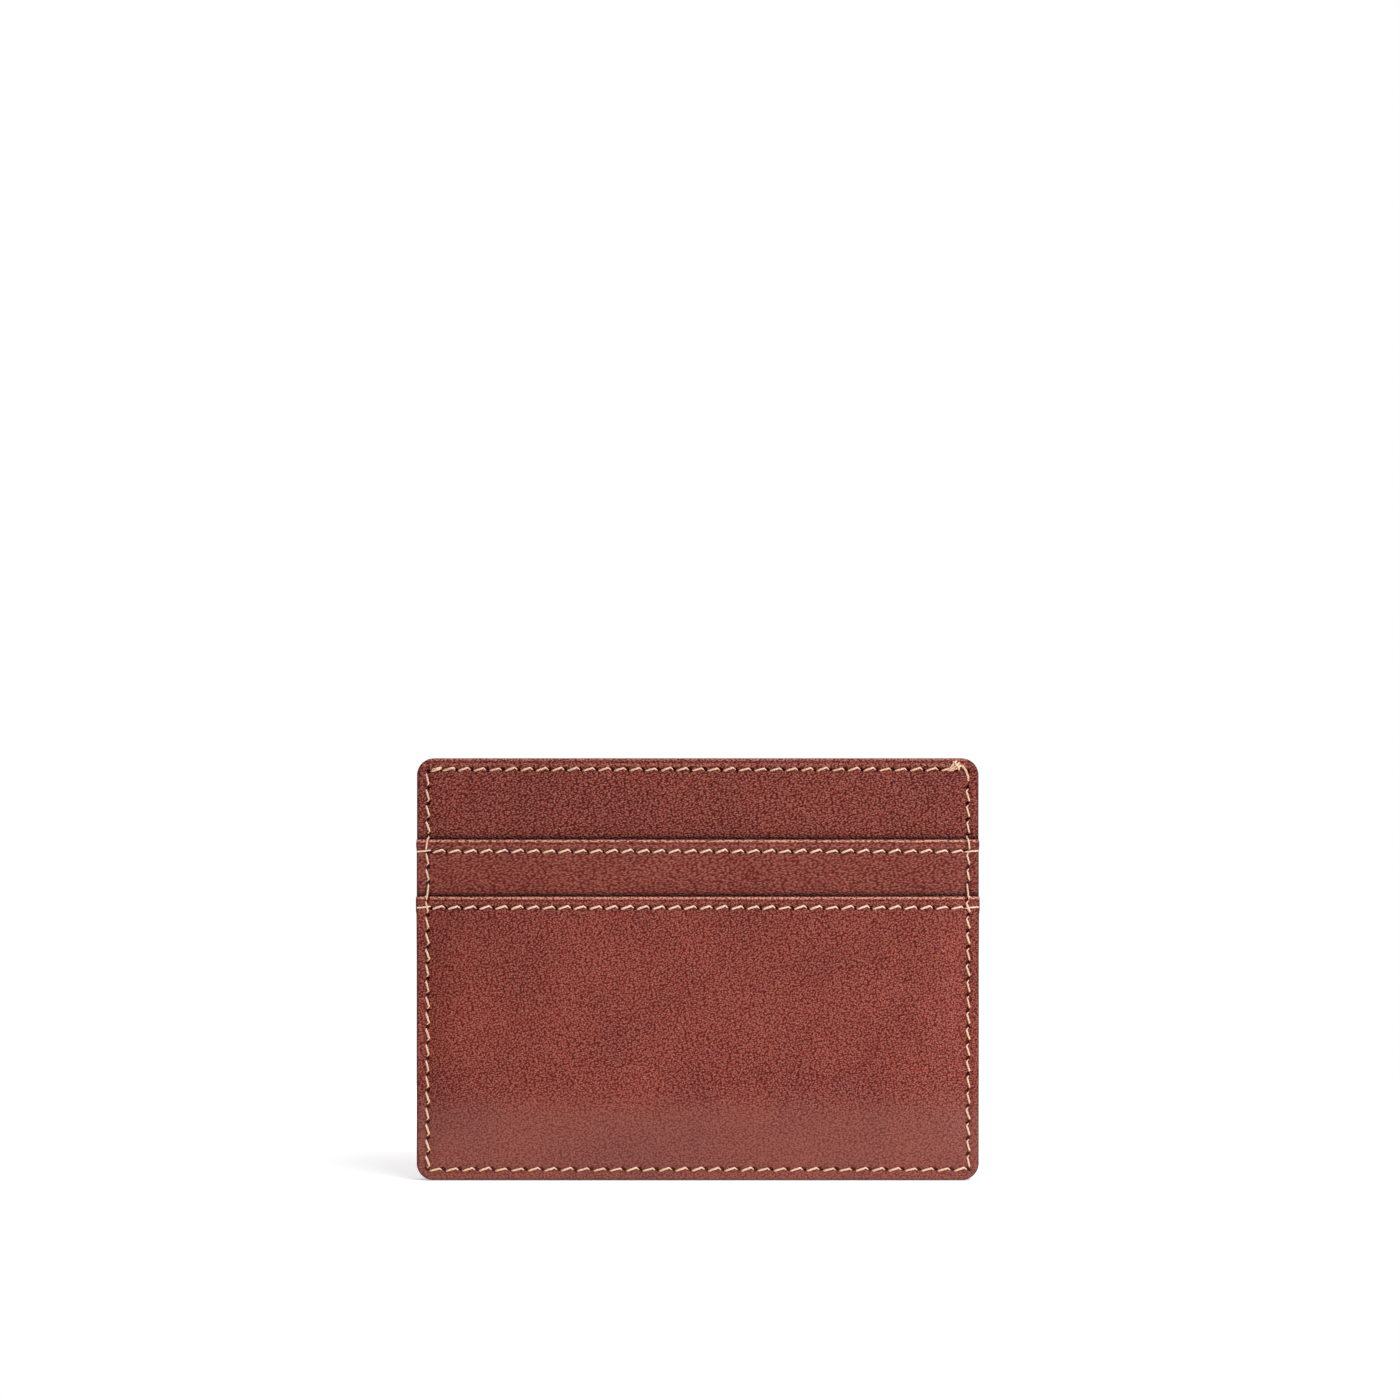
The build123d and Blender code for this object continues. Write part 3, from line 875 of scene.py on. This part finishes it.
strip_margin = panel_margin + LINING
strip_skin = gaping(layer(
    lambda z: strip_margin + strip_thickness(z),
    lambda z: panel_field + SLOT_GAP + LINING + strip_thickness(z),
), UPPER_MOUTH)
upper_mouth_holes = places_between(
    (-MOUTH_SEAM_REACH, UPPER_MOUTH_SEAM), (MOUTH_SEAM_REACH, UPPER_MOUTH_SEAM), MOUTH_STITCHES,
)
strip_marks = np.concatenate([upper_mouth_holes, perimeter_holes])
strip_faces = {}
strip_finish = glazed_calf("glazed_calf_strip", 0.75, "#722A20", "#7E362B", stretch=1.9)
for side, seed in (("front", 41), ("rear", 42)):
    def strip_face(x, z, seed=seed):
        shown = np.clip(z - STRIP_HIDDEN, 0, 1)
        marks = tooled(x, z, UPPER_MOUTH, UPPER_MOUTH_SEAM, strip_marks) + ripple(x, z, 26, 0.04, seed)
        return strip_skin(x, z) + shown * marks

    strip_faces[side] = strip_face
    mesh = sheet_mesh(
        side + "_upper_slot_calf", side, STRIP_BOTTOM, UPPER_MOUTH, LEATHER_MESH, strip_face, tongue_face,
        round_over=0.16, top_round=0.5, inset=shoulder(UPPER_MOUTH, 2.0), hidden_below=STRIP_HIDDEN,
        # Tool marks, a painted highlight along the mouth's bead, and painted shade just above the lower
        # slot's mouth.
        marks_and_painted_light=lambda x, z: (
            rubbed(x, z, UPPER_MOUTH, UPPER_MOUTH_SEAM, strip_marks) + painted_shade_above(z, LOWER_MOUTH)
        ),
    )
    heights = perimeter_holes[:, 1]
    shown_holes = perimeter_holes[(heights > STRIP_HIDDEN + 3) & (heights < UPPER_MOUTH)]
    halves = [(shown_holes[shown_holes[:, 0] * way > 0], SIDE_HOLE_SHIFT) for way in (-1, 1)]
    mesh = pierced(mesh, side, [(upper_mouth_holes, MOUTH_HOLE_SHIFT)] + halves, strip_face)
    add_piece(mesh, [strip_finish, edge_finish, strip_finish, core_finish],
              [side + "_upper_slot_leather"])

# --------------------------------------------------------------
# Lower slot linings. A full-width sheet of the twill, from the holder's foot to the lower mouth,
# which faces the back of the pocket leather and closes the lower slot.
# --------------------------------------------------------------
SKIVE_RUNOUT = 40.0


def step_over_strip(z):
    """The depth of the sheet under the pocket where it is sewn: the bare panel, then the strip."""
    return panel_margin + np.interp(z, (SKIVE_RUNOUT, STRIP_BOTTOM, SKIVE_START), (
        0, LINING + PARED_EDGE, LINING + STRIP_LEATHER,
    ))


pocket_field = panel_field + SLOT_GAP + LINING + STRIP_LEATHER + SLOT_GAP
pocket_back = gaping(layer(step_over_strip, pocket_field), LOWER_MOUTH)
pocket_lining_face = gaping(layer(lambda z: step_over_strip(z) + LINING, pocket_field + LINING), LOWER_MOUTH)
for side in SIDES:
    mesh = sheet_mesh(side + "_lower_slot_twill", side, 0.0, LOWER_MOUTH - 0.15, LINING_MESH,
                      pocket_lining_face, pocket_back)
    lining = add_piece(mesh, [lining_finish] * 3, [side + "_lower_slot_lining"])

# --------------------------------------------------------------
# Lower slot leathers. The large pocket piece of each face, in calf glazed a little smoother
# towards its foot, where a painted reflection greys its colour, with the same creased mouth and a
# painted highlight along its bead. The perimeter seam holds its other three edges.
# --------------------------------------------------------------
POCKET_LEATHER = 0.7
LOWER_MOUTH_SEAM = 48.55

pocket_rise = LINING + POCKET_LEATHER
pocket_skin = gaping(layer(
    lambda z: step_over_strip(z) + pocket_rise, pocket_field + pocket_rise,
), LOWER_MOUTH)
lower_mouth_holes = places_between(
    (-MOUTH_SEAM_REACH, LOWER_MOUTH_SEAM), (MOUTH_SEAM_REACH, LOWER_MOUTH_SEAM), MOUTH_STITCHES,
)
pocket_marks = np.concatenate([lower_mouth_holes, perimeter_holes])
pocket_faces = {}
pocket_finish = glazed_calf(
    "glazed_calf_pocket", 0.9, "#701E14", "#812B1D", stretch=1.35, smooth_foot=17 * MM,
)
for side, seed in (("front", 51), ("rear", 52)):
    def pocket_face(x, z, seed=seed):
        marks = tooled(x, z, LOWER_MOUTH, LOWER_MOUTH_SEAM, pocket_marks)
        return pocket_skin(x, z) + marks + ripple(x, z, 30, 0.07, seed)

    pocket_faces[side] = pocket_face
    mesh = sheet_mesh(
        side + "_lower_slot_calf", side, 0.0, LOWER_MOUTH, LEATHER_MESH, pocket_face, pocket_lining_face,
        round_over=0.3, top_round=0.5, inset=shoulder(LOWER_MOUTH, 3.2),
        # Tool marks and a painted highlight along the mouth's bead.
        marks_and_painted_light=lambda x, z: rubbed(x, z, LOWER_MOUTH, LOWER_MOUTH_SEAM, pocket_marks),
    )
    left, right = [side_holes[side_holes[:, 1] < LOWER_MOUTH] for side_holes in (side_down, side_up)]
    mesh = pierced(mesh, side, [
        (lower_mouth_holes, MOUTH_HOLE_SHIFT), (left[:-1], SIDE_HOLE_SHIFT),
        (along_bottom, SIDE_HOLE_SHIFT), (right[1:], SIDE_HOLE_SHIFT),
    ], pocket_face)
    add_piece(mesh, [pocket_finish, edge_finish, pocket_finish, core_finish],
              [side + "_lower_slot_leather"])

# --------------------------------------------------------------
# Mouth stitching. Each slot's mouth has a row sewn through its leather and lining before the
# pocket goes on, in the pale thread. Its ends run out under the side seams to the edge.
# --------------------------------------------------------------
MOUTH_END = 49.9


def hand_thread(side, path, radius=THREAD_RADIUS):
    """A stitch of its own course, given as (x, depth, z) in millimetres."""
    points, faces = tube([(x, -depth, z) for x, depth, z in path], radius)
    points = np.array(points) * MM
    points[:, :2] *= SIDES[side]
    mesh = bpy.data.meshes.new("thread")
    mesh.from_pydata(points.tolist(), [], faces)
    return mesh


def mouth_ends(side, z, face):
    """The last stitch of a mouth row at each end, which lies flat and is cut off at the edge."""
    ends = []
    for way in (-1, 1):
        places = np.array([MOUTH_SEAM_REACH, 48.0, 48.8, MOUTH_END]) * way
        heights = z + np.array([-0.2, -0.12, 0.0, 0.08]) * way
        depths = face(places, heights) + np.array([-0.2, 0.1, 0.02, -0.02])
        ends.append(hand_thread(side, np.stack([places, depths, heights], 1), 0.16))
    return ends


for side, seed in (("front", 61), ("rear", 62)):
    rows = (
        ("upper", upper_mouth_holes, UPPER_MOUTH_SEAM, strip_faces[side], tongue_back),
        ("lower", lower_mouth_holes, LOWER_MOUTH_SEAM, pocket_faces[side], pocket_back),
    )
    for row, holes, height, face, back in rows:
        add_seam(side + "_" + row + "_mouth_thread", [
            sewn_run(holes, face, side, pale_thread, seed),
            looped_run(holes[1:-1], back, side, pale_thread, seed),
        ] + mouth_ends(side, height, face), [side + "_" + row + "_mouth_stitching"], pale_thread)

# --------------------------------------------------------------
# Top edge stitching. One row runs along the top of each main panel, in a warmer thread. It is
# backstitched where it starts, and tied off in a small knot against the side seam at its end.
# --------------------------------------------------------------
warm_thread = waxed_thread("waxed_thread_warm", "#C59A7A", "#F8CFAC")


def locked_ends(side, face):
    """The doubled stitches where the row starts, and the knot and last stitch where it ends."""
    def on(points, lift):
        """A course over the face, given as (x, z) and how high it lies at each point."""
        places = np.array(points, float)
        return np.stack([places[:, 0], face(places[:, 0], places[:, 1]) + lift, places[:, 1]], 1)

    rise = np.array([-0.3, 0.16, 0.22, 0.16, -0.3])
    start = [
        on([(-47.5, 72.65), (-47.2, 72.75), (-46.6, 72.95), (-45.9, 73.15), (-45.7, 73.2)], rise),
        on([(-47.4, 72.95), (-47.0, 73.05), (-46.4, 73.2), (-45.8, 73.35), (-45.6, 73.3)], rise),
        on([(-44.9, 72.9), (-44.6, 73.0), (-44.1, 73.2), (-43.5, 73.3), (-43.3, 73.25)], rise),
    ]
    knot = [
        on([(44.5, 72.8), (44.8, 73.1), (45.3, 73.75), (45.9, 74.4), (46.1, 74.5)], rise + 0.05),
        on([(44.7, 72.75), (45.1, 73.0), (45.8, 73.6), (46.4, 74.1), (46.6, 74.2)], rise + 0.1),
        on([(45.0, 72.8), (45.5, 73.0), (46.1, 73.3), (46.7, 73.7), (46.9, 73.8)], rise + 0.05),
        on([(45.5, 74.4), (45.8, 74.1), (46.2, 73.7), (46.5, 73.3), (46.5, 73.0)], rise + 0.25),
        on([(46.7, 73.75), (47.2, 73.6), (47.8, 72.8), (48.15, 71.7), (48.2, 70.7)], rise),
    ]
    return [hand_thread(side, path, 0.2) for path in start + knot]


for side, seed in (("front", 71), ("rear", 72)):
    add_seam(side + "_top_edge_thread", [
        sewn_run(top_holes, panel_faces[side], side, warm_thread, seed),
        looped_run(top_holes, centre_face, side, warm_thread, seed),
    ] + locked_ends(side, panel_faces[side]), [side + "_top_edge_stitching"], warm_thread)

# --------------------------------------------------------------
# Perimeter threads. A lockstitch down one side, along the foot and up the other joins both
# faces. The needle's thread lies on the front and the bobbin's on the rear, locked between.
# --------------------------------------------------------------


def over_mouth(side, start, end, start_depth, end_depth, rim, rim_depth):
    """The stitch that steps down over a pocket's mouth, drawn tight across its edge."""
    way = math.copysign(1, start[0])
    lean = np.array([-0.22, -0.24, -0.1, 0.02, 0.18, 0.2]) * -way
    heights = np.array([start[1] + 0.2, start[1] + 0.45, rim - 0.5, rim + 0.1, end[1] - 0.5, end[1] - 0.2])
    depths = np.array([
        start_depth - 0.3, start_depth + 0.12, rim_depth + 0.17, rim_depth + 0.14,
        end_depth + 0.2, end_depth - 0.3,
    ])
    return hand_thread(side, np.stack([start[0] + lean, depths, heights], 1))


for side, name, seed in (("front", "perimeter_needle", 81), ("rear", "perimeter_bobbin", 82)):
    strip, pocket, panel = strip_faces[side], pocket_faces[side], panel_faces[side]
    runs = []
    for column, falling in ((side_down, True), (side_up, False)):
        top = HEIGHT if falling else HEIGHT - 4      # the knot's last stitch takes the top right hole
        stretches = (
            (pocket, 0, LOWER_MOUTH), (strip, LOWER_MOUTH, UPPER_MOUTH), (panel, UPPER_MOUTH, top),
        )
        for face, low, high in stretches:
            holes = column[(column[:, 1] > low) & (column[:, 1] < high)]
            runs.append(sewn_run(holes, face, side, warm_thread, seed))
        for low_face, high_face, rim in ((pocket, strip, LOWER_MOUTH), (strip, panel, UPPER_MOUTH)):
            rising = column[::-1] if falling else column
            crossing = np.searchsorted(rising[:, 1], rim)
            start, end = rising[crossing - 1], rising[crossing]
            runs.append(over_mouth(
                side, start, end, float(low_face(*start[:, None])[0]), float(high_face(*end[:, None])[0]),
                rim, float(low_face(start[:1], np.array([rim - 0.5]))[0]),
            ))
    runs.append(sewn_run(along_bottom, pocket, side, warm_thread, seed))
    add_seam(name + "_waxed_thread", runs, [name + "_thread"], warm_thread)

# --------------------------------------------------------------
# The set: a white table under a pale studio sky, a long softbox above that rakes the mouths'
# edges, a weaker one to the right, and a 100 mm lens level with the table.
# --------------------------------------------------------------


def matt_floor():
    """Matt white card, lit a little from below as a light table is, so that it stays white."""
    material, _, shader = new_material("matt_white_card", Roughness=0.9, Emission_Strength=0.35)
    shader.inputs["Base Color"].default_value = colour("#F8F8F8")
    shader.inputs["Emission Color"].default_value = colour("#FFFFFF")
    shader.inputs["Specular IOR Level"].default_value = 0.1
    return material


def add_softbox(name, location, size, power):
    """A white softbox aimed at the middle of the holder."""
    light = bpy.data.lights.new(name, "AREA")
    light.shape, light.size, light.size_y = "RECTANGLE", *size
    light.energy = power
    lamp = bpy.data.objects.new(name, light)
    lamp.location = location
    aim = Vector((0.0, 0.0, HEIGHT / 2 * MM)) - Vector(location)
    lamp.rotation_euler = aim.to_track_quat("-Z", "Y").to_euler()
    bpy.context.scene.collection.objects.link(lamp)


floor_mesh = bpy.data.meshes.new("floor")
floor_mesh.from_pydata([(-2, -0.16, 0), (2, -0.16, 0), (2, 0.17, 0), (-2, 0.17, 0)], [], [(0, 1, 2, 3)])
floor_mesh.materials.append(matt_floor())
floor = bpy.data.objects.new("floor", floor_mesh)
floor.location.z = cad_box[0].z - 0.1 * MM
bpy.context.scene.collection.objects.link(floor)

add_softbox("top_softbox", (0.45, -0.5, 0.85), (0.7, 0.35), 5.2)
add_softbox("right_softbox", (0.36, -0.3, 0.25), (0.2, 0.3), 1.5)

# The studio: bright above, dim all round, and plain white where it is only a backdrop
world = bpy.data.worlds.new("studio")
bpy.context.scene.world = world
world.use_nodes = True
studio = world.node_tree
background = studio.nodes["Background"]
direction = add(studio, "ShaderNodeTexCoord").outputs["Generated"]
height_in_sky = add(studio, "ShaderNodeSeparateXYZ", {0: direction})
sky = add(studio, "ShaderNodeMapRange", {
    "Value": height_in_sky.outputs["Z"], "From Min": 0.25, "From Max": 0.7, "To Min": 0.04, "To Max": 0.82,
}, interpolation_type="SMOOTHSTEP")
backdrop = add(studio, "ShaderNodeLightPath").outputs["Is Camera Ray"]
strength = add(studio, "ShaderNodeMix", {0: backdrop, 2: sky.outputs[0], 3: 1.0}, data_type="FLOAT")
studio.links.new(strength.outputs[0], background.inputs["Strength"])
background.inputs["Color"].default_value = (1, 1, 1, 1)

camera_data = bpy.data.cameras.new("camera")
camera_data.lens = 100
camera_data.sensor_width = 36
camera_data.clip_start = 0.01
camera = bpy.data.objects.new("camera", camera_data)
camera.location = (0.0004, -0.6935, 0.0854)
camera.rotation_euler = (math.pi / 2, 0, 0)
bpy.context.scene.collection.objects.link(camera)
bpy.context.scene.camera = camera
bpy.context.scene.view_settings.view_transform = "Standard"
